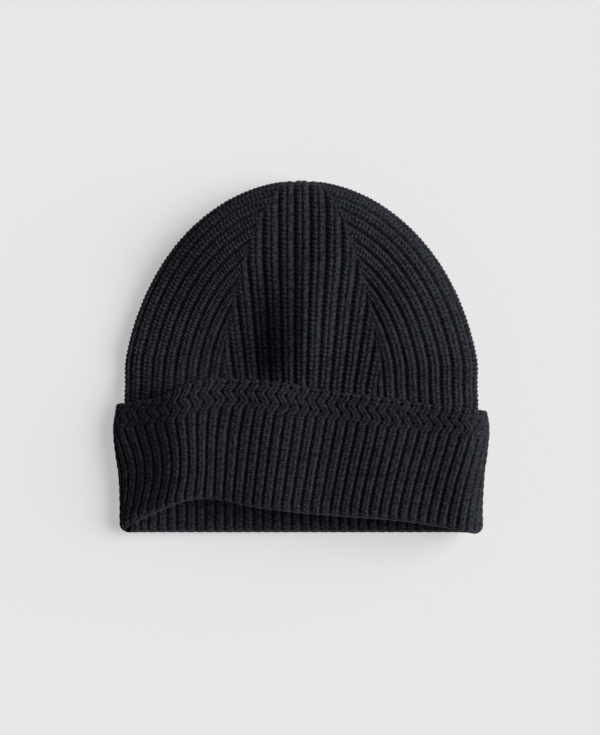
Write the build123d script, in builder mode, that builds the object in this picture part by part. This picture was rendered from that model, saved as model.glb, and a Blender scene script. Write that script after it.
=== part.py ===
from build123d import *
from math import sqrt
import os

# A cuffed rib-knit hat that lies on its back on a level surface, in millimetres.
# X runs across the hat, +Y from the opening to the top of the crown, +Z up from the surface.
# The origin is at the middle of the hat's footprint, on the surface.

# Driving dimensions
hat_length = 212.0
layer = 4.2                      # thickness of one layer of knit
layer_gap = 0.4                  # slack between the cuff and the wall that it covers
body_gap = 0.3                   # slack where a piece that slides meets one that stays
stack_height = 32.8              # from the surface to the top of the flattened cuff
overhang = 125.0                 # past the widest side, so that a cutting zone takes in the whole hat

hem = -hat_length / 2
crown_top = hat_length / 2
middle = stack_height / 2
under_cuff = layer + layer_gap   # how far the inner wall stands inside the cuff's outside

roll_depth = 5.0                 # length of the rounded fold along Y
crown_base = hem + 72.0          # where the cuff's inner wall goes over into the crown panels
cavity_end = hem + 204.0         # inside end of the crown, where the stitches are drawn together
edge_height = 2.2                # the finished upper edge of the zigzag band

seam_width = 3.0
seam_height = 1.5
seam_end = hem + 200.0
closing_wire = 1.6
closing_loop = (26.0, 7.0)       # outer width and height of the closing yarn's flat loop

label_length = 34.0
label_width = 22.0
label_thickness = 1.0
label_place = hem + 125.0

# Half widths of the flattened cuff's outside, as (distance from the hem, half width)
cuff_outline = [(0, 109.2), (22, 109.2), (38, 110.4), (50, 112.0), (63, 113.0), (78, 111.0), (98, 111.0)]

# The crown's outline is half an ellipse. Each section has its distance from the hem and the
# heights of its underside and top: the crown rises over the back of the cuff and thins at the top.
ellipse_start = 75.0
ellipse_half_width = 108.0
crown_heights = [
    (106, 0.0, 31.0),
    (122, 0.0, 31.4),
    (138, 0.0, 31.4),
    (154, 0.0, 31.0),
    (168, 0.0, 30.0),
    (180, 0.0, 28.0),
    (190, 0.0, 25.0),
    (198, 0.0, 21.5),
    (204, 0.0, 17.5),
]
crown_tip = [(209, 22.0, 1.0, 13.0), (212, 14.0, 3.0, 9.0)]
tip_sections = [(hem + y, half, low, top) for y, half, low, top in crown_tip]
tip_middle = (crown_heights[-1][1] + crown_heights[-1][2]) / 2
hidden_crown = [
    (72, 106.2, 4.6, 28.2),
    (86, 106.2, 4.6, 28.2),
    (94, 106.2, 3.2, 28.2),
    (100, 106.0, 1.2, 29.8),
]
split_line = [(crown_base, middle), (hem + 170, middle), (cavity_end, 9.0), (crown_top, 6.0)]

# Front lines across the cuff, from the left side to the right
fold_front = [(-113, hem), (-90, -94), (-60, -85.6), (-30, -89.8), (12, -94), (60, -97.6), (113, hem)]
band_low_front = [
    (-113, -44.5),
    (-84, -40),
    (-48, -30.4),
    (0, -35.2),
    (36, -40.6),
    (72, -44.8),
    (113, -47.8),
]
band_top_front = [
    (-113, -28.5),
    (-88, -24.6),
    (-62, -14.6),
    (-28, -13.6),
    (24, -20.8),
    (60, -25.6),
    (113, -32.4),
]

# The same lines on the underside are straight
fold_back = [(-113, hem), (113, hem)]
band_low_back = [(-113, -44.5), (113, -47.8)]
band_top_back = [(-113, -28.5), (113, -32.4)]

# The right-hand join between the front and side panels. The other three mirror it.
join_line = [(47.5, crown_base), (45.5, 6.0), (37.0, 47.0), (24.0, 84.0), (10.0, crown_top)]


def raised(line, height):
    """A line moved along Y."""
    return [(x, y + height) for x, y in line]


def crown_sections(inset):
    """The crown's sections, a wall thickness further in: (y, half width, underside, top)."""
    sections = [(hem + y, half - inset, low + inset, top - inset) for y, half, low, top in hidden_crown]
    for y, low, top in crown_heights:
        half = ellipse_half_width * sqrt(1 - ((y - ellipse_start) / (hat_length - ellipse_start)) ** 2)
        sections.append((hem + y, half - inset, low + inset, top - inset))
    return sections


def cuff_sections(inset):
    """The cuff's sections, a distance further in: (y, half width, underside, top)."""
    return [(hem + y, half - inset, inset, stack_height - inset) for y, half in cuff_outline]


def shell(outer, inner):
    """A closed wall between two sets of flat rounded sections that stand across Y."""
    with BuildPart() as wall:
        for sections, mode in ((outer, Mode.ADD), (inner, Mode.SUBTRACT)):
            for y, half, low, top in sections:
                with BuildSketch(Plane.XZ.offset(-y)):
                    with Locations((0, (low + top) / 2)):
                        SlotOverall(2 * half, top - low)
            loft(ruled=True, mode=mode)
    return wall.part


def cuff_zone(low_front, low_back, top_front, top_back):
    """The part of the hat's length that a cuff piece takes up, on its underside and on its front."""
    halves = [(low_back, top_back, -overhang, middle), (low_front, top_front, middle, overhang)]
    with BuildPart() as zone:
        for low, top, start, end in halves:
            with BuildSketch(Plane.XY.offset(start)):
                with BuildLine():
                    Spline(*low) if len(low) > 2 else Line(*low)
                    Spline(*top) if len(top) > 2 else Line(*top)
                    for side in (0, -1):
                        far = overhang if side else -overhang
                        Polyline(low[side], (far, low[side][1]), (far, top[side][1]), top[side])
                make_face()
            extrude(amount=end - start)
    return zone.part


def panel_zone():
    """Everything between the left and right joins."""
    with BuildPart() as zone:
        with BuildSketch(Plane.XY.offset(-overhang)):
            with BuildLine():
                right = Spline(*join_line)
                left = Spline(*[(-x, y) for x, y in join_line])
                Line(left @ 0, right @ 0)
                Line(left @ 1, right @ 1)
            make_face()
        extrude(amount=2 * overhang)
    return zone.part


def face_zone(far):
    """Everything on one side of the crown's middle: far is a height above or below it."""
    with BuildPart() as zone:
        with BuildSketch(Plane.YZ.offset(-overhang)):
            with BuildLine():
                Polyline(*split_line, (crown_top, far), (crown_base, far), close=True)
            make_face()
        extrude(amount=2 * overhang)
    return zone.part


def side_zone(side):
    """Everything outside one of the joins: side is 1 for the right and -1 for the left."""
    with BuildPart() as zone:
        with BuildSketch(Plane.XY.offset(-overhang)):
            with BuildLine():
                join = Spline(*[(side * x, y) for x, y in join_line])
                Polyline(join @ 0, (side * overhang, crown_base), (side * overhang, crown_top), join @ 1)
            make_face()
        extrude(amount=2 * overhang)
    return zone.part


def seam_zone(line):
    """A narrow upright block that follows a seam line."""
    with BuildPart() as zone:
        with BuildSketch(Plane.XY.offset(-overhang)):
            with BuildLine():
                near = Spline(*[(x - seam_width / 2, y) for x, y in line])
                far = Spline(*[(x + seam_width / 2, y) for x, y in line])
                Line(near @ 0, far @ 0)
                Line(near @ 1, far @ 1)
            make_face()
        extrude(amount=2 * overhang)
    return zone.part


os.makedirs("parts", exist_ok=True)

cuff_wall_shell = shell(cuff_sections(0), cuff_sections(layer))
inner_wall_shell = shell(cuff_sections(under_cuff), cuff_sections(under_cuff + layer))
fold_shell = shell(cuff_sections(0), cuff_sections(under_cuff + layer))
wall_seam_shell = shell(cuff_sections(under_cuff + layer), cuff_sections(under_cuff + layer + seam_height))
crown_shell = shell(crown_sections(0) + tip_sections, crown_sections(layer))
crown_seam_shell = shell(crown_sections(layer), crown_sections(layer + seam_height))

# The fold at the hat's lower edge: one layer going down, turning over and coming up again
with BuildPart() as fold_roll:
    add(fold_shell)
    roll_top_front = raised(fold_front, roll_depth)
    roll_top_back = raised(fold_back, roll_depth)
    add(cuff_zone(fold_front, fold_back, roll_top_front, roll_top_back), mode=Mode.INTERSECT)
fold_roll.part.label = "fold_roll"
export_step(fold_roll.part, "parts/fold_roll.step")

# The turned-up wall between the fold and the zigzag band
with BuildPart() as cuff_wall:
    add(cuff_wall_shell)
    wall_top_front = raised(band_low_front, -body_gap)
    wall_top_back = raised(band_low_back, -body_gap)
    add(cuff_zone(roll_top_front, roll_top_back, wall_top_front, wall_top_back), mode=Mode.INTERSECT)
cuff_wall.part.label = "cuff_wall"
export_step(cuff_wall.part, "parts/cuff_wall.step")

# The zigzag band that ends the cuff
with BuildPart() as zigzag_band:
    add(cuff_wall_shell)
    edge_low_front = raised(band_top_front, -edge_height)
    edge_low_back = raised(band_top_back, -edge_height)
    add(cuff_zone(band_low_front, band_low_back, edge_low_front, edge_low_back), mode=Mode.INTERSECT)
zigzag_band.part.label = "zigzag_band"
export_step(zigzag_band.part, "parts/zigzag_band.step")

# The starting row along the band's upper edge
with BuildPart() as edge_chain:
    add(cuff_wall_shell)
    add(cuff_zone(edge_low_front, edge_low_back, band_top_front, band_top_back), mode=Mode.INTERSECT)
edge_chain.part.label = "edge_chain"
export_step(edge_chain.part, "parts/edge_chain.step")

# The hat's own wall inside the cuff, from the fold up to the crown panels
inner_low_front = raised(roll_top_front, body_gap)
inner_low_back = raised(roll_top_back, body_gap)
inner_top = [(-113, crown_base), (113, crown_base)]
inner_zone = cuff_zone(inner_low_front, inner_low_back, inner_top, inner_top)
with BuildPart() as inner_wall:
    add(inner_wall_shell)
    add(inner_zone, mode=Mode.INTERSECT)
inner_wall.part.label = "inner_wall"
export_step(inner_wall.part, "parts/inner_wall.step")

# The crown's front and back panels
for name, far in (("crown_front", overhang), ("crown_back", -overhang)):
    with BuildPart() as panel:
        add(crown_shell)
        add(panel_zone(), mode=Mode.INTERSECT)
        add(face_zone(far), mode=Mode.INTERSECT)
    panel.part.label = name
    export_step(panel.part, f"parts/{name}.step")

# The crown's side panels wrap round from the front to the back
for name, side in (("crown_left", -1), ("crown_right", 1)):
    with BuildPart() as panel:
        add(crown_shell)
        add(side_zone(side), mode=Mode.INTERSECT)
    panel.part.label = name
    export_step(panel.part, f"parts/{name}.step")

# The linked joins between the panels, as a ridge of yarn on the inside of each one
for face, far in (("front", overhang), ("back", -overhang)):
    for hand, side in (("left", -1), ("right", 1)):
        seam_line = [(side * x, min(y, seam_end)) for x, y in join_line]
        with BuildPart() as seam:
            add(crown_seam_shell)
            add(seam_zone(seam_line), mode=Mode.INTERSECT)
            add(face_zone(far), mode=Mode.INTERSECT)
        seam.part.label = f"seam_{face}_{hand}"
        export_step(seam.part, f"parts/seam_{face}_{hand}.step")

# The centre-back seam, in the crown and in the wall inside the cuff
back_line = [(0, hem), (0, 0), (0, seam_end)]
with BuildPart() as back_seam_crown:
    add(crown_seam_shell)
    add(seam_zone(back_line), mode=Mode.INTERSECT)
    add(face_zone(-overhang), mode=Mode.INTERSECT)
back_seam_crown.part.label = "back_seam_crown"
export_step(back_seam_crown.part, "parts/back_seam_crown.step")

with BuildPart() as back_seam_wall:
    add(wall_seam_shell)
    add(inner_zone, mode=Mode.INTERSECT)
    add(seam_zone(back_line), mode=Mode.INTERSECT)
    split(bisect_by=Plane.XY.offset(middle), keep=Keep.BOTTOM)
back_seam_wall.part.label = "back_seam_wall"
export_step(back_seam_wall.part, "parts/back_seam_wall.step")

# The yarn that draws the last stitches together, as a flat loop at the cavity's end
with BuildPart() as closing_yarn:
    loop_width, loop_height = closing_loop
    with BuildSketch(Plane.XZ.offset(-cavity_end)):
        with Locations((0, tip_middle)):
            SlotOverall(loop_width, loop_height)
            SlotOverall(loop_width - 2 * closing_wire, loop_height - 2 * closing_wire, mode=Mode.SUBTRACT)
    extrude(amount=closing_wire)
closing_yarn.part.label = "closing_yarn"
export_step(closing_yarn.part, "parts/closing_yarn.step")

# A blank ribbon label, its end caught in the centre-back seam
with BuildPart() as care_label:
    with BuildSketch(Plane.XY.offset(layer + body_gap)):
        with Locations((seam_width / 2 + body_gap + label_length / 2, label_place)):
            Rectangle(label_length, label_width)
    extrude(amount=label_thickness)
care_label.part.label = "care_label"
export_step(care_label.part, "parts/care_label.step")
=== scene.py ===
import math

import bpy
import numpy as np
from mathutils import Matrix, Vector


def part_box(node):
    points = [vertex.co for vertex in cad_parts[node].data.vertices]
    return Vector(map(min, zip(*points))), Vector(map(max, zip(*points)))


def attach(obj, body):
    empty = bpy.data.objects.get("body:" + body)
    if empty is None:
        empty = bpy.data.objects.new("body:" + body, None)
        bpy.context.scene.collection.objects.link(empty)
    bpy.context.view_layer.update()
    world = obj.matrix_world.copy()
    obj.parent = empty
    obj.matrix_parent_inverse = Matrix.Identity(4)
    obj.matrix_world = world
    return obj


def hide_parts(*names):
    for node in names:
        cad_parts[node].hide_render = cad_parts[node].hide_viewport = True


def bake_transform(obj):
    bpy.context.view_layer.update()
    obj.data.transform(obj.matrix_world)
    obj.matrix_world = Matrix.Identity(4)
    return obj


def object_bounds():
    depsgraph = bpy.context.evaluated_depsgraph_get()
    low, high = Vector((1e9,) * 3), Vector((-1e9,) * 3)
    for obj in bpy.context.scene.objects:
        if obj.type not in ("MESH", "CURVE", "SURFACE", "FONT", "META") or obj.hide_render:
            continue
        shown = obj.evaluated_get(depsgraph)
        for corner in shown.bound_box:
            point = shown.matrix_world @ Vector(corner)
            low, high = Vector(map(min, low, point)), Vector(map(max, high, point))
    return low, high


# A cuffed rib-knit hat lying on its back. Each knitted piece is a closed sheet of mesh: its outside
# carries the ribs and stitches, and its inside the ribs' backs. Everything is in metres, in the frame
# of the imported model, where the hat's tip points along +Y and its front faces +Z.

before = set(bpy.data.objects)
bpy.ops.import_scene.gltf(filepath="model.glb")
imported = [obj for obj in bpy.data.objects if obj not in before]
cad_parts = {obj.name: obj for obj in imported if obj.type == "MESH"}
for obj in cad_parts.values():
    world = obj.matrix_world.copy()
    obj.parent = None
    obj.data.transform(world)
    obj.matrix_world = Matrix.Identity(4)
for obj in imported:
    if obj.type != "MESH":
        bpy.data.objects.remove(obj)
cad_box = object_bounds()
MM = 0.001

# ---- The frame's sizes ----

hem_y = cad_box[0][1]
crown_top_y = cad_box[1][1]
stack_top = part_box("cuff_wall")[1][2]         # the four layers' height at the cuff
inner_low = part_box("inner_wall")[0][2]        # how far the inner wall lies inside the cuff's outside
layer = 4.2 * MM                              # thickness of one layer of knit
double_layer = inner_low + layer
roll_depth = 5.0 * MM                         # how far the fold reaches beyond the cuff wall
crown_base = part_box("crown_front")[0][1]
edge_height = 2.2 * MM
hat_width = 226 * MM
cuff_widest = 113 * MM                        # half widths
inner_widest = 110 * MM
ring_half = 110 * MM                          # of the plain ring that the cuff's rings are scaled from
cuff_slump_top = hem_y + 76 * MM              # beyond it the cuff sinks no differently

# The crown's outline is half an ellipse about (0, ellipse_y).
ellipse_y = hem_y + 75 * MM
ellipse_a = 108 * MM
ellipse_b = crown_top_y - ellipse_y

# ---- The knit's sizes ----

cuff_ribs = 82                     # round the whole cuff
crown_pitch = 6.9 * MM             # from rib to rib beside the cuff
crown_row = 2.7 * MM               # from stitch to stitch along a crown rib
zigzag_reach = 0.52                # sideways reach of the zigzag, in ribs
samples_per_row = 4                # points of mesh for each stitch
around = 880                       # points of mesh round the cuff
cuff_length = 0.4865               # round the cuff's outside
wall_relief = 1.65 * MM            # depths of the valleys between ribs
band_relief = 1.8 * MM
chain_relief = 1.5 * MM
roll_relief = 1.8 * MM
inner_relief = 1.9 * MM
crown_relief = 1.55 * MM
rib_end_width = 1.7 * MM           # how near a crown join the ribs flatten
join_dip = 0.25 * MM               # and how far they sink there

# Outlines, each as matching lists of x and y in millimetres from the hat's middle
cuff_half_y = [0, 22, 38, 50, 63, 78, 98]
cuff_half = [109.2, 109.2, 110.4, 112.0, 113.0, 111.0, 111.0]
fold_x = [-113, -90, -60, -30, 12, 60, 113]
fold_y = [-106, -94, -85.6, -89.8, -94, -97.6, -106]
band_low_x = [-113, -84, -48, 0, 36, 72, 113]
band_low_y = [-44.5, -40, -30.4, -35.2, -40.6, -44.8, -47.8]
band_top_x = [-113, -88, -62, -28, 24, 60, 113]
band_top_y = [-28.5, -24.6, -14.6, -13.6, -20.8, -25.6, -32.4]
join_y = [-34, 6, 47, 84, 106]
join_x = [47.5, 45.5, 37, 24, 10]


def smoothstep(low, high, value):
    """0 below low, 1 above high, and a smooth rise between."""
    t = np.clip((value - low) / (high - low), 0, 1)
    return t * t * (3 - 2 * t)


def bell(value, middle, left, right):
    """A bump that falls off at a different rate on each side."""
    width = np.where(value < middle, left, right)
    return np.exp(-(((value - middle) / width) ** 2))


def curve_through(xs, ys):
    """A smooth curve through points, as a function of x in metres (Catmull-Rom slopes)."""
    xs = np.array(xs) * MM
    ys = np.array(ys) * MM
    slopes = np.gradient(ys, xs)

    def at(x):
        x = np.clip(x, xs[0], xs[-1])
        i = np.clip(np.searchsorted(xs, x) - 1, 0, len(xs) - 2)
        width = xs[i + 1] - xs[i]
        t = (x - xs[i]) / width
        return (
            (2 * t**3 - 3 * t**2 + 1) * ys[i]
            + (t**3 - 2 * t**2 + t) * width * slopes[i]
            + (-2 * t**3 + 3 * t**2) * ys[i + 1]
            + (t**3 - t**2) * width * slopes[i + 1]
        )

    return at


fold_line = curve_through(fold_x, fold_y)
band_low_line = curve_through(band_low_x, band_low_y)
band_top_line = curve_through(band_top_x, band_top_y)
join_line = curve_through(join_y, join_x)
cuff_half_width = curve_through([y + hem_y / MM for y in cuff_half_y], cuff_half)


# ---- The hat's overall shape ----

def slump(x, y):
    """How far the front rises, or sinks below its flat height: the soft dents of the hat as it lies.

    Each term is a height in millimetres, faded by the place across the hat and up from the hem."""
    up = (y - hem_y) / MM
    x = x / MM
    tilt = -5.0 * smoothstep(56, -60, x) * (1 - 0.6 * smoothstep(150, 200, up))
    left_side = -13.0 * smoothstep(-68, -108, x) * smoothstep(112, 82, up)
    left_crown = -14.0 * smoothstep(-4, -96, x) * smoothstep(84, 104, up)
    left_crown = left_crown * (1 - 0.6 * smoothstep(136, 200, up))
    crown_only = smoothstep(77, 95, up)
    dent = -12.0 * bell(x, -27, 42, 15) * bell(up, 107, 22, 38) * crown_only
    ridge = 2.6 * bell(x, 4, 5, 36) * bell(up, 118, 26, 38) * crown_only
    fold_dip = -3.0 * bell(x, -62, 24, 36) * smoothstep(34, 12, up)
    past_cuff = np.maximum(up, 92)
    wave = 0.9 * np.sin(x / 17 + past_cuff / 30) + 0.7 * np.sin(x / 9.5 - past_cuff / 21 + 1.3)
    return (tilt + left_side + dent + left_crown + ridge + fold_dip + wave) * MM


def settle(points, furthest=np.inf):
    """Lowers points with the slumped front, less and less towards the surface that the hat lies on.

    Past the furthest y the sinking stays as it is there, so that the cuff spans the crown's dents."""
    points[..., 2] *= 1 + slump(points[..., 0], np.minimum(points[..., 1], furthest)) / stack_top
    return points


def ring_section(half, low, top, count):
    """Points round a flattened ring, evenly spaced from the middle of the front, going right."""
    radius = (top - low) / 2
    flat = half - radius
    length = 4 * flat + 2 * math.pi * radius
    s = np.arange(count) / count * length
    arc = math.pi * radius
    x = np.empty(count)
    z = np.empty(count)
    middle = (low + top) / 2
    first = s < flat
    x[first], z[first] = s[first], top
    right = (s >= flat) & (s < flat + arc)
    a = (s[right] - flat) / radius
    x[right], z[right] = flat + radius * np.sin(a), middle + radius * np.cos(a)
    under = (s >= flat + arc) & (s < 3 * flat + arc)
    x[under], z[under] = flat - (s[under] - flat - arc), low
    left = (s >= 3 * flat + arc) & (s < 3 * flat + 2 * arc)
    a = (s[left] - 3 * flat - arc) / radius
    x[left], z[left] = -flat - radius * np.sin(a), middle - radius * np.cos(a)
    last = s >= 3 * flat + 2 * arc
    x[last], z[last] = -flat + (s[last] - 3 * flat - 2 * arc), top
    return x, z


def ring_grid(y_of, rows, count, widest=cuff_widest):
    """The cuff's outside between two lines, and how much each point of a ring is of the front.

    y_of(t, front, x) gives the y of the points at t, which goes from 0 to 1."""
    points = np.empty((rows + 1, count, 3))
    base_x, base_z = ring_section(ring_half, 0, stack_top, count)
    front = smoothstep(-0.75, 0.75, (base_z - stack_top / 2) / (stack_top / 2))
    for row in range(rows + 1):
        y = y_of(row / rows, front, base_x)
        half = np.minimum(cuff_half_width(y), widest)
        points[row, :, 0] = base_x * half / ring_half
        points[row, :, 1] = y
        points[row, :, 2] = base_z
    return settle(points, cuff_slump_top), front


def between(low_front, low_back, top_front, top_back):
    """y_of for a piece between two lines, arched on the front and straight on the underside."""
    def y_of(t, front, x):
        low = low_front(x) * front + low_back(x) * (1 - front)
        top = top_front(x) * front + top_back(x) * (1 - front)
        return low + (top - low) * t
    return y_of


def straight(y_left, y_right):
    """A line straight across the underside."""
    return lambda x: y_left + (y_right - y_left) * (x / hat_width + 0.5)


hem_back = straight(hem_y, hem_y)
band_low_back = straight(-44.5 * MM, -47.8 * MM)
band_top_back = straight(-28.5 * MM, -32.4 * MM)
crown_base_line = straight(crown_base, crown_base)


def lift(line, amount):
    """A line moved along Y."""
    return lambda x: line(x) + amount


def normals(points, ring):
    """Outward unit normals of a grid."""
    if ring:
        across = np.roll(points, -1, 1) - np.roll(points, 1, 1)
    else:
        across = np.gradient(points, axis=1)
    along = np.gradient(points, axis=0)
    n = np.cross(across, along)
    length = np.linalg.norm(n, axis=2, keepdims=True)
    return n / np.maximum(length, 1e-12)


# ---- Ribs and stitches ----

unevenness = np.random.default_rng(11)


def rib_profile(phase, width=0.86, groove=0.2):
    """Height of a rib from 0 in its valleys to 1 on top, less the groove between its two columns.

    Also gives the place across the rib, from -0.5 to 0.5."""
    c = phase - np.floor(phase) - 0.5
    crest = np.clip(1 - np.abs(2 * c / width) ** 2.8, 0, 1) ** 0.7
    return crest - groove * np.exp(-((c / 0.07) ** 2)), c


def stitches(c, row, lean):
    """Height of the stitches on a rib: a bump in each column for each row, leaning as a V."""
    wave = 0.5 + 0.5 * np.cos(2 * math.pi * (row - lean * np.abs(c)))
    return wave * np.exp(-(((np.abs(c) - 0.2) / 0.13) ** 2))


def slant(s, t):
    """How far a cuff rib has moved sideways at t of its height: s runs round from the front's middle."""
    reach_at = [-0.30, -0.115, -0.10, -0.062, -0.03, 0.12, 0.30]
    reach = np.interp(s, reach_at, [3.5, -1.5, 1.5, 3.0, 8.0, 10.5, 3.5])
    bend = np.interp(s, [-0.13, -0.115, -0.075, -0.05], [0.0, 6.5, 4.0, 0.0])
    return (reach * t + bend * np.sin(math.pi * t)) * MM


def cuff_phase(count, t):
    """Rib phase round the cuff at height t, which is 0 at the fold and 1 at the zigzag band."""
    s = (np.arange(count) / count + 0.5) % 1 * cuff_length - cuff_length / 2
    return (s - slant(s, t)) / cuff_length * cuff_ribs


# ---- Meshes ----

def link_mesh(name, mesh):
    """A smooth-shaded object of a mesh."""
    mesh.polygons.foreach_set("use_smooth", [True] * len(mesh.polygons))
    mesh.update()
    obj = bpy.data.objects.new(name, mesh)
    bpy.context.scene.collection.objects.link(obj)
    return obj


def grid_faces(rows, columns, offset, ring, flip):
    """Quads of a grid of points, whose vertices start at offset."""
    width = columns if ring else columns + 1
    r, c = np.meshgrid(np.arange(rows), np.arange(columns), indexing="ij")
    a = offset + r * width + c
    b = offset + r * width + (c + 1) % width
    quads = np.stack([a, b, b + width, a + width], axis=-1).reshape(-1, 4)
    if flip:
        quads = quads[:, ::-1]
    return quads


def border(rows, columns, ring):
    """The grid's edge vertices in order, as lists of (row, column), one list for each closed loop."""
    width = columns if ring else columns + 1
    low = [(0, c) for c in range(width)]
    top = [(rows, c) for c in range(width)]
    if ring:
        return [low, top[::-1]]
    right = [(r, columns) for r in range(1, rows)]
    left = [(r, 0) for r in range(1, rows)]
    return [low + right + top[::-1] + left[::-1]]


def sheet_object(name, outer, inner, knit, ring, step=1):
    """A closed sheet between two grids of the same size, of which the inner keeps every step-th point.

    knit is each point's rib phase and row, for the material."""
    rows, width = outer.shape[0] - 1, outer.shape[1]
    columns = width if ring else width - 1
    inner = inner[::step, ::step]
    inner_rows, inner_width = inner.shape[0] - 1, inner.shape[1]
    inner_columns = inner_width if ring else inner_width - 1
    start = outer.shape[0] * width
    faces = grid_faces(rows, columns, 0, ring, False).tolist()
    faces += grid_faces(inner_rows, inner_columns, start, ring, True).tolist()
    for fine, coarse in zip(border(rows, columns, ring), border(inner_rows, inner_columns, ring)):
        fine = [r * width + c for r, c in fine]
        coarse = [start + r * inner_width + c for r, c in coarse]
        if ring and fine[0] >= width:
            fine = fine[step - 1:] + fine[:step - 1]
        for k in range(len(coarse)):
            edge = [fine[(k * step + j) % len(fine)] for j in range(step + 1)]
            faces.append(edge[::-1] + [coarse[k], coarse[(k + 1) % len(coarse)]])
    mesh = bpy.data.meshes.new(name)
    mesh.from_pydata(np.concatenate([outer.reshape(-1, 3), inner.reshape(-1, 3)]).tolist(), [], faces)
    attribute = mesh.attributes.new("knit", "FLOAT_VECTOR", "POINT")
    values = np.concatenate([knit.reshape(-1, 3), knit[::step, ::step].reshape(-1, 3)])
    attribute.data.foreach_set("vector", values.astype(np.float32).ravel())
    return link_mesh(name, mesh)


def knit_sheet(name, points, phase, row, relief, ring=False, step=1, width=0.86, groove=0.2,
               lean=1.1, bump=0.3, dip=None):
    """A knitted sheet: ribs and stitches on its outside, and the ribs' backs on its inside.

    relief is the depth between its ribs, and dip lowers its outside."""
    n = normals(points, ring)
    height, c = rib_profile(phase, width, groove)
    height = height + bump * (stitches(c, row, lean) - 0.5)
    height = height + 0.05 * unevenness.standard_normal(height.shape)
    back, _ = rib_profile(phase + 0.5)
    outside = 0.4 * MM - relief * (1 - height)
    if dip is not None:
        outside = outside - dip
    inside = -layer + 0.8 * relief * (1 - back)
    inside = np.minimum(inside, outside - 1.1 * MM)
    knit = np.stack([phase, row, np.zeros_like(phase)], axis=-1)
    outer = points + n * outside[..., None]
    inner = points + n * inside[..., None]
    outer[..., 2] = np.maximum(outer[..., 2], 0)
    return sheet_object(name, outer, inner, knit, ring, step)


# ---- The cuff ----

def cuff_piece(y_of, rows, heights, stitch_rows, widest=cuff_widest):
    """A ring of the cuff. heights are its start and end as parts of the cuff ribs' height."""
    points, _ = ring_grid(y_of, rows, around, widest)
    t = np.linspace(0, 1, rows + 1)
    phase = np.stack([cuff_phase(around, heights[0] + (heights[1] - heights[0]) * k) for k in t])
    row = np.repeat(t[:, None] * stitch_rows, around, axis=1)
    return points, phase, row


wall_between = between(lift(fold_line, roll_depth), lift(hem_back, roll_depth), band_low_line, band_low_back)
chain_low_line = lift(band_top_line, -edge_height)
chain_low_back = lift(band_top_back, -edge_height)


def make_cuff_wall():
    """The turned-up wall, from the fold to the zigzag band."""
    points, phase, row = cuff_piece(wall_between, 44, (0, 1), 33)
    obj = knit_sheet("knit_cuff_wall", points, phase, row, wall_relief, ring=True, step=2,
                     width=0.92, bump=0.18)
    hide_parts("cuff_wall")
    return obj


def zigzag(t):
    """Sideways place of a zigzag column: up to the right, back to the left, up to the right again."""
    pointed = 1 - np.abs(1 - (3 * t) % 2)
    rounded = 0.5 - 0.5 * np.cos(3 * math.pi * t)
    return zigzag_reach * (pointed + rounded) / 2


def make_zigzag_band():
    """The band of leaning stitches above the wall."""
    y_of = between(band_low_line, band_low_back, chain_low_line, chain_low_back)
    rows = 36
    points, phase, row = cuff_piece(y_of, rows, (1, 1), 11)
    t = np.linspace(0, 1, rows + 1)[:, None]
    phase = phase - zigzag(t)
    leaf = 0.88 + 0.42 * np.abs(np.sin(3 * math.pi * t))
    obj = knit_sheet("knit_zigzag_band", points, phase, row, band_relief, ring=True, step=2,
                     width=leaf, bump=0.36)
    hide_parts("zigzag_band")
    return obj


def make_edge_chain():
    """The starting row along the band's top, scalloped and rounded over."""
    y_of = between(chain_low_line, chain_low_back, band_top_line, band_top_back)
    rows = 8
    points, phase, row = cuff_piece(y_of, rows, (1, 1), 1)
    phase = phase - zigzag(1.0)
    t = np.linspace(0, 1, rows + 1)[:, None]
    scallop = 0.5 * MM * np.cos(2 * math.pi * phase)
    points[..., 1] -= t * scallop
    round_over = layer * 0.36 * (1 - np.sqrt(np.clip(1 - t**4, 0, 1)))
    obj = knit_sheet("knit_edge_chain", points, phase, row, chain_relief, ring=True, step=2,
                     width=1, bump=0.2, dip=round_over)
    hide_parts("edge_chain")
    return obj


def make_fold_roll():
    """The fold: the fabric goes down on the outside, turns round and goes up on the inside."""
    points, front = ring_grid(wall_between, 40, around)
    edge = points[0]
    n = normals(points, True)[0]
    phase = cuff_phase(around, 0)
    rows = 16
    half_turn = np.linspace(0, math.pi, rows + 1)[:, None]
    stitches_round_fold = 5
    height, _ = rib_profile(phase)
    relief = roll_relief * (1 - height)
    flatter = 0.4 - 0.28 * front[0]
    middle = edge - n * double_layer / 2
    outer = np.empty((rows + 1, around, 3))
    inner = np.empty((rows + 1, around, 3))
    down = np.array([0, -1.0, 0])
    for k, turn in enumerate(half_turn[:, 0]):
        fade = (flatter + (1 - flatter) * math.cos(turn) ** 2) * (0.9 + 0.1 * math.cos(turn))
        reach = double_layer / 2 + 0.2 * MM * (1 + math.cos(turn)) - relief * fade
        depth = roll_depth - relief * fade
        outer[k] = middle + n * (reach * math.cos(turn))[:, None] + down * (depth * math.sin(turn))[:, None]
        inner[k] = middle + n * 0.4 * MM * math.cos(turn) + down * 0.9 * MM * math.sin(turn)
    outer = outer[::-1]
    inner = inner[::-1]
    outer[..., 2] = np.maximum(outer[..., 2], 0)
    knit = np.zeros_like(outer)
    knit[..., 0] = phase
    knit[..., 1] = half_turn * stitches_round_fold / math.pi
    obj = sheet_object("knit_fold_roll", outer, inner, knit, True, 2)
    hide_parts("fold_roll")
    return obj


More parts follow.
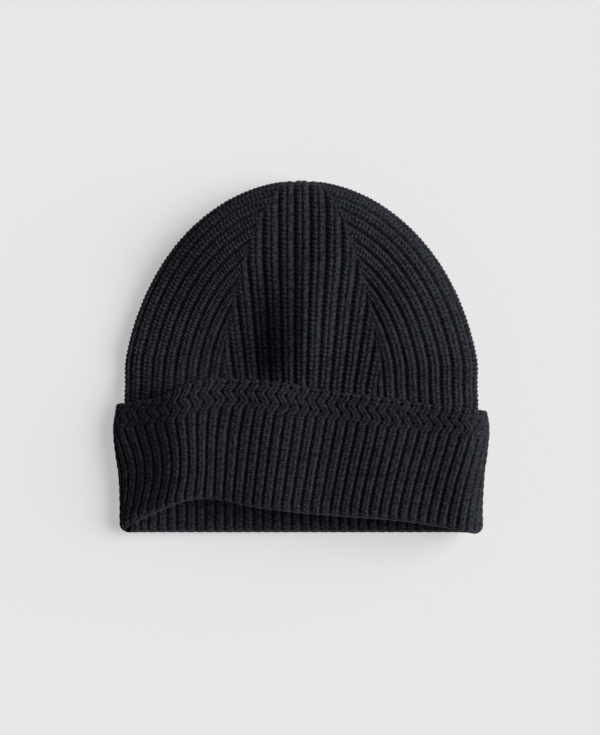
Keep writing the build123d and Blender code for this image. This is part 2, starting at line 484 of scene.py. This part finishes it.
def make_inner_wall():
    """The hat's own wall inside the cuff, from just inside the fold to just inside the crown."""
    start = roll_depth - 0.4 * MM
    top_line = lift(crown_base_line, 2.0 * MM)
    y_of = between(lift(fold_line, start), lift(hem_back, start), top_line, top_line)
    rows = 46
    points, phase, row = cuff_piece(y_of, rows, (0, 0.35), 42, inner_widest)
    n = normals(points, True)
    clear = 0.8 * MM * smoothstep(0.05, 0.3, np.linspace(0, 1, rows + 1))[:, None, None]
    points = points - n * (inner_low + clear)
    obj = knit_sheet("knit_inner_wall", points, phase + 0.5, row, inner_relief, ring=True, step=1, bump=0.12)
    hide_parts("inner_wall")
    return obj


# ---- The crown ----

def run_length(step_a, step_b):
    """Length along a line up to each of its points, from the steps between them."""
    return np.concatenate([[0], np.cumsum(np.hypot(step_a, step_b))])


# The crown's section over its front: how far out and up each point is, and the length up to it
flatness = 4.6                     # how square the section is: 2 is an ellipse
section_height = 15 * MM
table_steps = np.linspace(0, math.pi / 2, 400)
table_out = np.sin(table_steps) ** (2 / flatness)
table_up = np.cos(table_steps) ** (2 / flatness)
table_arc = run_length(np.diff(table_out) * ellipse_a, np.diff(table_up) * section_height)


def crown_top_height(y):
    """Heights of the crown's underside, outline and front at a distance along the hat."""
    up = (y - hem_y) / MM
    top = 28.2 + 4.3 * smoothstep(88, 112, up)
    low = 4.6 * smoothstep(102, 84, up)
    middle = (top + low) / 2 - 9.0 * smoothstep(130, 208, up)
    return low * MM, middle * MM, top * MM


def crown_point(x, y, rho, front):
    """A point of the crown's surface over (x, y), on the front or on the underside."""
    low, middle, top = crown_top_height(y)
    dome = np.clip(1 - rho**flatness, 0, 1) ** (1 / flatness)
    flat_dome = np.clip(1 - rho**6, 0, 1) ** (1 / 3)
    upper = middle + (top - middle) * dome
    lower = middle - (middle - low) * flat_dome
    narrow = 1 - 0.017 * smoothstep(104 * MM, 86 * MM, y - hem_y)
    return settle(np.stack([x * narrow, y, np.where(front, upper, lower)], axis=-1))


def ellipse_rho(x, y):
    """Distance from the ellipse's middle as a part of the way to the outline."""
    above = np.maximum(y - ellipse_y, 0)
    return np.sqrt((x / ellipse_a) ** 2 + (above / ellipse_b) ** 2)


def crown_sheet(name, node, points, phase, row, y, from_join):
    """A crown panel's knit: its ribs fade at the tip and beside the joins, where they also dip."""
    relief = crown_relief * (1 - 0.55 * smoothstep(0.95, 1.0, (y - ellipse_y) / ellipse_b))
    at_join = np.exp(-((from_join / rib_end_width) ** 2))
    relief = relief * (1 - 0.7 * at_join)
    obj = knit_sheet(name, points, phase, row, relief, step=2, width=0.94, groove=0.3,
                     bump=0.42, lean=0.6, dip=join_dip * at_join)
    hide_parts(node)
    return obj


def make_crown_centre(name, node, front):
    """The front or back panel: straight ribs that draw closer towards the cuff."""
    line = np.linspace(crown_base, crown_top_y - 0.02 * MM, 3000)
    profile = crown_point(0 * line, line, np.clip((line - ellipse_y) / ellipse_b, 0, 1), front)
    arc = run_length(np.diff(profile[:, 1]), np.diff(profile[:, 2]))
    rows = 2 * round(arc[-1] / crown_row * samples_per_row / 2)
    columns = 160
    along = np.linspace(0, arc[-1], rows + 1)[:, None]
    y = np.interp(along, arc, line)
    half = join_line(y)
    side = np.linspace(-1, 1, columns + 1)[None, :]
    x = half * side
    y = np.broadcast_to(y, x.shape)
    rho = np.minimum(ellipse_rho(x, y), 1)
    points = crown_point(x, y, rho, front)
    if not front:
        points = points[:, ::-1]
        x = x[:, ::-1]
    pitch_at = [60, 89, 113, 140, 164, 194, 212]
    pitch = np.interp((y - hem_y) / MM, pitch_at, [6.9, 7.2, 7.8, 8.6, 9.4, 9.4, 9.0]) * MM
    first_rib = 3.9 * MM
    phase = (x + first_rib) / pitch
    row = np.broadcast_to(along / crown_row, x.shape)
    return crown_sheet(name, node, points, phase, row, y, half - np.abs(x))


def make_crown_side(name, node, side):
    """A side panel: its ribs follow the crown's outline and end at the joins."""
    straight_part = ellipse_y - crown_base
    turn = np.linspace(0, math.radians(86.0), 600)
    arc = run_length(np.diff(np.cos(turn)) * ellipse_a, np.diff(np.sin(turn)) * ellipse_b)
    total = straight_part + arc[-1]
    rows = 2 * round(total / crown_row * samples_per_row / 2)
    along = np.linspace(0, total, rows + 1)
    theta = np.interp(along - straight_part, arc, turn)
    base = np.minimum(along - straight_part, 0)
    columns = 208
    # From -1 at the front join, through 0 on the outline, to 1 at the back join
    across = np.linspace(-1, 1, columns + 1)[None, :]
    # Where the line from the ellipse's middle meets the join, by bisection
    low = np.zeros(rows + 1)
    high = np.ones(rows + 1)
    for _ in range(40):
        mid = (low + high) / 2
        px = mid * ellipse_a * np.cos(theta)
        py = ellipse_y + base + mid * ellipse_b * np.sin(theta)
        outside = px > join_line(py)
        high = np.where(outside, mid, high)
        low = np.where(outside, low, mid)
    arc_end = table_arc[-1]
    to_join = (arc_end - np.interp(high, table_out, table_arc))[:, None]
    distance = np.abs(across) * to_join
    rho = np.interp(arc_end - distance, table_arc, table_out)
    x = side * rho * ellipse_a * np.cos(theta)[:, None]
    y = ellipse_y + base[:, None] + rho * ellipse_b * np.sin(theta)[:, None]
    front = np.broadcast_to(across < 0, x.shape)
    points = crown_point(x, y, rho, front)
    # The table's lengths are for a section ellipse_a wide; the real section is wider or narrower
    spread = 1 / np.sqrt(np.cos(theta) ** 2 / ellipse_a**2 + np.sin(theta) ** 2 / ellipse_b**2) / ellipse_a
    phase = distance * spread[:, None] / crown_pitch + 0.5
    row = np.broadcast_to(along[:, None] / crown_row, x.shape)
    from_join = (1 - np.abs(across)) * to_join
    if side < 0:
        points, phase, y, from_join = (grid[:, ::-1] for grid in (points, phase, y, from_join))
    return crown_sheet(name, node, points, phase, row, y, from_join)


# ---- Seams, closing yarn and label ----

def twisted_yarn(name, route, thick):
    """Two strands of yarn twisted together along a route, as closed tubes."""
    pitch = 3.2 * MM
    strands = 2
    sides = 8
    steps = np.linalg.norm(np.diff(route, axis=0), axis=1)
    run = np.concatenate([[0], np.cumsum(steps)])
    count = max(24, round(run[-1] / pitch * 12))
    at = np.linspace(0, run[-1], count)
    centre = np.stack([np.interp(at, run, route[:, k]) for k in range(3)], axis=-1)
    along = np.gradient(centre, axis=0)
    along /= np.linalg.norm(along, axis=1, keepdims=True)
    side = np.cross(along, [0, 0, 1.0])
    side /= np.maximum(np.linalg.norm(side, axis=1, keepdims=True), 1e-9)
    up = np.cross(side, along)
    ring = np.arange(sides) / sides * 2 * math.pi
    vertices = []
    faces = []
    for strand in range(strands):
        turn = 2 * math.pi * (at / pitch + strand / strands)
        middle = centre + thick * 0.27 * (side * np.cos(turn)[:, None] + up * np.sin(turn)[:, None])
        round_side = side[:, None, :] * np.cos(ring)[None, :, None]
        round_up = up[:, None, :] * np.sin(ring)[None, :, None]
        tube = middle[:, None, :] + thick * 0.3 * (round_side + round_up)
        start = len(vertices)
        vertices += tube.reshape(-1, 3).tolist()
        faces += grid_faces(count - 1, sides, start, True, True).tolist()
        faces.append(list(range(start, start + sides)))
        faces.append(list(range(start + (count - 1) * sides, start + count * sides))[::-1])
    mesh = bpy.data.meshes.new(name)
    mesh.from_pydata(vertices, [], faces)
    return link_mesh(name, mesh)


def inside_crown(x, y, front, depth):
    """Points under the crown's surface at (x, y), on its inside."""
    rho = np.minimum(ellipse_rho(x, y), 0.985)
    points = crown_point(x, y, rho, np.full(x.shape, front))
    points[:, 2] += -depth if front else depth
    return points


def make_seams():
    """The linked joins between the crown's panels, and the centre-back seam."""
    made = []
    seam_thick = 2.0 * MM
    low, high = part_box("seam_front_left")
    y = np.linspace(low[1] + 2 * MM, high[1] - 4 * MM, 160)
    depth = layer + 0.5 * MM
    for face in ("front", "back"):
        for hand, side in (("left", -1), ("right", 1)):
            route = inside_crown(side * join_line(y), y, face == "front", depth)
            obj = twisted_yarn(f"yarn_seam_{face}_{hand}", route, seam_thick)
            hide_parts(f"seam_{face}_{hand}")
            made.append(obj)
    back = twisted_yarn("yarn_back_seam_crown", inside_crown(0 * y, y, False, depth), seam_thick)
    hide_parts("back_seam_crown")
    made.append(back)
    for obj in made:
        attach(obj, "crown")
    low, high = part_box("back_seam_wall")
    y = np.linspace(low[1] + 9 * MM, high[1] + 2 * MM, 120)
    route = np.stack([0 * y, y, 0 * y + low[2] + 0.7 * MM], axis=-1)
    wall = twisted_yarn("yarn_back_seam_wall", route, seam_thick)
    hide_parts("back_seam_wall")
    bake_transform(wall)
    return made + [wall]


def make_closing_yarn():
    """The drawn-up loop of yarn through the last stitches, inside the top."""
    low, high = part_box("closing_yarn")
    turn = np.linspace(0, 2 * math.pi, 90)
    inset = 1.2 * MM
    half_wide = (high[0] - low[0]) / 2 - inset
    half_high = (high[2] - low[2]) / 2 - inset
    route = np.stack([
        half_wide * np.cos(turn),
        0 * turn + (low[1] + high[1]) / 2 + 0.6 * MM * np.sin(9 * turn),
        (low[2] + high[2]) / 2 + half_high * np.sin(turn),
    ], axis=-1)
    obj = twisted_yarn("yarn_closing_loop", route, 1.8 * MM)
    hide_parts("closing_yarn")
    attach(obj, "crown")
    return obj


def make_label():
    """A blank ribbon folded double, its two cut ends caught in the seam."""
    low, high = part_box("care_label")
    rows, columns = 16, 60
    ribbon = 0.32 * MM
    fold_radius = (high[2] - low[2]) / 2 - ribbon / 2
    length = high[0] - low[0] - fold_radius
    v = np.linspace(low[1], high[1], rows + 1)[:, None]
    u = np.linspace(-1, 1, columns + 1)[None, :]
    lying = 0.9                    # the part of each half that lies flat; the rest is in the fold
    in_fold = np.abs(u) < 1 - lying
    angle = np.where(in_fold, u / (1 - lying) * math.pi / 2, np.sign(u) * math.pi / 2)
    x = np.where(in_fold, low[0] + length + fold_radius * np.cos(angle),
                 low[0] + length * (1 - (np.abs(u) - (1 - lying)) / lying))
    z = (low[2] + high[2]) / 2 + fold_radius * np.sin(angle)
    x, y, z = np.broadcast_arrays(x, v, z)
    ripple = 0.12 * MM
    z = z + ripple * np.sin((y - low[1]) / (high[1] - low[1]) * math.pi * 2) * np.abs(u)
    points = np.stack([x, y, z], axis=-1)
    n = normals(points, False)
    obj = sheet_object("ribbon_label", points + n * ribbon / 2, points - n * ribbon / 2,
                       np.zeros_like(points), False)
    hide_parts("care_label")
    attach(obj, "label")
    return obj


# ---- Materials ----

def set_inputs(shader, **inputs):
    """Sets a node's inputs: names with spaces are written with underscores."""
    for key, value in inputs.items():
        shader.inputs[key.replace("_", " ")].default_value = value


def node(tree, kind, **inputs):
    """A shader node with its settings or inputs set."""
    made = tree.nodes.new(kind)
    for key, value in inputs.items():
        if hasattr(made, key):
            setattr(made, key, value)
        else:
            set_inputs(made, **{key: value})
    return made


def maths(tree, operation, a, b=0.0):
    """A maths node on two values or sockets."""
    made = tree.nodes.new("ShaderNodeMath")
    made.operation = operation
    for socket, value in zip(made.inputs, (a, b)):
        if isinstance(value, (int, float)):
            socket.default_value = value
        else:
            tree.links.new(value, socket)
    return made.outputs[0]


def knit_material(name, dark, light, stitch_depth, stitch_gap_shade):
    """Matt yarn: stitches as leaning legs, speckled with lighter and darker fibres, with painted shade
    darkening the gaps between the stitches.
    """
    material = bpy.data.materials.new(name)
    material.use_nodes = True
    tree = material.node_tree
    shader = tree.nodes["Principled BSDF"]
    knit = node(tree, "ShaderNodeAttribute", attribute_name="knit")
    parts = tree.nodes.new("ShaderNodeSeparateXYZ")
    tree.links.new(knit.outputs["Vector"], parts.inputs[0])
    across = maths(tree, "SUBTRACT", maths(tree, "FRACT", parts.outputs["X"]), 0.5)
    lean = maths(tree, "MULTIPLY", maths(tree, "ABSOLUTE", across), 1.2)
    leg = maths(tree, "SUBTRACT", parts.outputs["Y"], lean)
    wave = maths(tree, "COSINE", maths(tree, "MULTIPLY", leg, 2 * math.pi))
    place = tree.nodes.new("ShaderNodeNewGeometry").outputs["Position"]
    fibres = node(tree, "ShaderNodeTexNoise", Scale=620.0, Detail=0.0)
    clumps = node(tree, "ShaderNodeTexNoise", Scale=260.0, Detail=0.0)
    patches = node(tree, "ShaderNodeTexNoise", Scale=30.0, Detail=2.0)
    for texture in (fibres, clumps, patches):
        tree.links.new(place, texture.inputs["Vector"])
    ramp = tree.nodes.new("ShaderNodeValToRGB")
    ramp.color_ramp.elements[0].position = 0.345
    ramp.color_ramp.elements[0].color = (*dark, 1)
    ramp.color_ramp.elements[1].position = 0.495
    ramp.color_ramp.elements[1].color = (*light, 1)
    tone = maths(tree, "ADD", maths(tree, "MULTIPLY", fibres.outputs["Fac"], 0.65),
                 maths(tree, "MULTIPLY", clumps.outputs["Fac"], 0.12))
    tone = maths(tree, "ADD", tone, maths(tree, "MULTIPLY", patches.outputs["Fac"], 0.07))
    # Painted shade: the stitch wave also darkens the colour in the gaps between stitches
    tree.links.new(maths(tree, "ADD", tone, maths(tree, "MULTIPLY", wave, stitch_gap_shade)), ramp.inputs["Fac"])
    tree.links.new(ramp.outputs["Color"], shader.inputs["Base Color"])
    height = maths(tree, "ADD", maths(tree, "MULTIPLY", wave, stitch_depth),
                   maths(tree, "MULTIPLY", fibres.outputs["Fac"], 0.35))
    height = maths(tree, "ADD", height, maths(tree, "MULTIPLY", clumps.outputs["Fac"], 0.7))
    bump = node(tree, "ShaderNodeBump", Strength=0.9, Distance=0.0004)
    tree.links.new(height, bump.inputs["Height"])
    tree.links.new(bump.outputs["Normal"], shader.inputs["Normal"])
    set_inputs(shader, Roughness=0.85, Specular_IOR_Level=0.25,
               Sheen_Weight=0.06, Sheen_Roughness=0.5, Sheen_Tint=(0.75, 0.8, 1.0, 1))
    return material


def plain_material(name, colour, rough, weave):
    """Sewing yarn or label ribbon, with a fine weave."""
    material = bpy.data.materials.new(name)
    material.use_nodes = True
    tree = material.node_tree
    shader = tree.nodes["Principled BSDF"]
    place = tree.nodes.new("ShaderNodeNewGeometry").outputs["Position"]
    threads = node(tree, "ShaderNodeTexNoise", Scale=weave, Detail=3.0)
    tree.links.new(place, threads.inputs["Vector"])
    ramp = tree.nodes.new("ShaderNodeValToRGB")
    ramp.color_ramp.elements[0].color = (*[0.7 * c for c in colour], 1)
    ramp.color_ramp.elements[1].color = (*[1.3 * c for c in colour], 1)
    tree.links.new(threads.outputs["Fac"], ramp.inputs["Fac"])
    tree.links.new(ramp.outputs["Color"], shader.inputs["Base Color"])
    bump = node(tree, "ShaderNodeBump", Strength=0.5, Distance=0.0002)
    tree.links.new(threads.outputs["Fac"], bump.inputs["Height"])
    tree.links.new(bump.outputs["Normal"], shader.inputs["Normal"])
    set_inputs(shader, Roughness=rough)
    return material


# ---- Building ----

yarn_dark = (0.0023, 0.0027, 0.0043)
yarn_light = (0.0192, 0.0212, 0.0310)
# The last number of each knit is how strongly painted shade darkens the gaps between stitches
crown_look = knit_material("crown_knit", yarn_dark, yarn_light, 0.3, 0.045)
cuff_look = knit_material("cuff_knit", yarn_dark, yarn_light, 0.55, 0.035)
yarn_look = plain_material("seam_yarn", (0.02, 0.021, 0.026), 0.85, 1800.0)
ribbon_look = plain_material("label_ribbon", (0.05, 0.05, 0.055), 0.6, 2600.0)

crown_front = make_crown_centre("knit_crown_front", "crown_front", True)
crown_back = make_crown_centre("knit_crown_back", "crown_back", False)
crown_left = make_crown_side("knit_crown_left", "crown_left", -1)
crown_right = make_crown_side("knit_crown_right", "crown_right", 1)
cuff_wall = make_cuff_wall()
zigzag_band = make_zigzag_band()
edge_chain = make_edge_chain()
fold_roll = make_fold_roll()
inner_wall = make_inner_wall()

for piece in (crown_front, crown_back, crown_left, crown_right):
    piece.data.materials.append(crown_look)
    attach(piece, "crown")
for piece in (cuff_wall, zigzag_band, edge_chain, fold_roll, inner_wall):
    piece.data.materials.append(cuff_look)
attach(fold_roll, "fold")
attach(zigzag_band, "cuff_edge")
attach(edge_chain, "cuff_edge")
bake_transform(cuff_wall)
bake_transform(inner_wall)

for piece in [*make_seams(), make_closing_yarn()]:
    piece.data.materials.append(yarn_look)
care_label = make_label()
care_label.data.materials.append(ribbon_look)

# ---- Floor, light and camera ----

# The floor is large, so that low views have no horizon, and lies just under the hat.
reach = 40
floor_mesh = bpy.data.meshes.new("floor")
corners = [(-reach, -reach, 0), (reach, -reach, 0), (reach, reach, 0), (-reach, reach, 0)]
floor_mesh.from_pydata(corners, [], [(0, 1, 2, 3)])
floor = bpy.data.objects.new("floor", floor_mesh)
floor.location.z = -0.5 * MM
bpy.context.scene.collection.objects.link(floor)
floor_look = bpy.data.materials.new("floor")
floor_look.use_nodes = True
# It glows a little, which keeps the hat's shadow as light as in the photograph
set_inputs(floor_look.node_tree.nodes["Principled BSDF"], Base_Color=(0.42, 0.42, 0.42, 1),
           Emission_Color=(1, 1, 1, 1), Emission_Strength=0.446, Roughness=0.9, Specular_IOR_Level=0.0)
floor_mesh.materials.append(floor_look)

sun_data = bpy.data.lights.new("soft_sun", "SUN")
sun_data.energy = 4.55
sun_data.angle = math.radians(54)
sun = bpy.data.objects.new("soft_sun", sun_data)
bpy.context.scene.collection.objects.link(sun)
sun.rotation_euler = Vector((-1.0, -0.2, -0.64)).to_track_quat("-Z", "Y").to_euler()

world = bpy.context.scene.world or bpy.data.worlds.new("studio")
bpy.context.scene.world = world
world.use_nodes = True
set_inputs(world.node_tree.nodes["Background"], Color=(1, 1, 1, 1), Strength=0.075)
bpy.context.scene.view_settings.view_transform = "Standard"

camera_data = bpy.data.cameras.new("camera")
camera_data.lens = 100
camera_data.sensor_width = 36
camera = bpy.data.objects.new("camera", camera_data)
camera.location = (-0.0003, -0.0061, 1.225 + stack_top / 2)
bpy.context.scene.collection.objects.link(camera)
bpy.context.scene.camera = camera

bpy.context.view_layer.update()
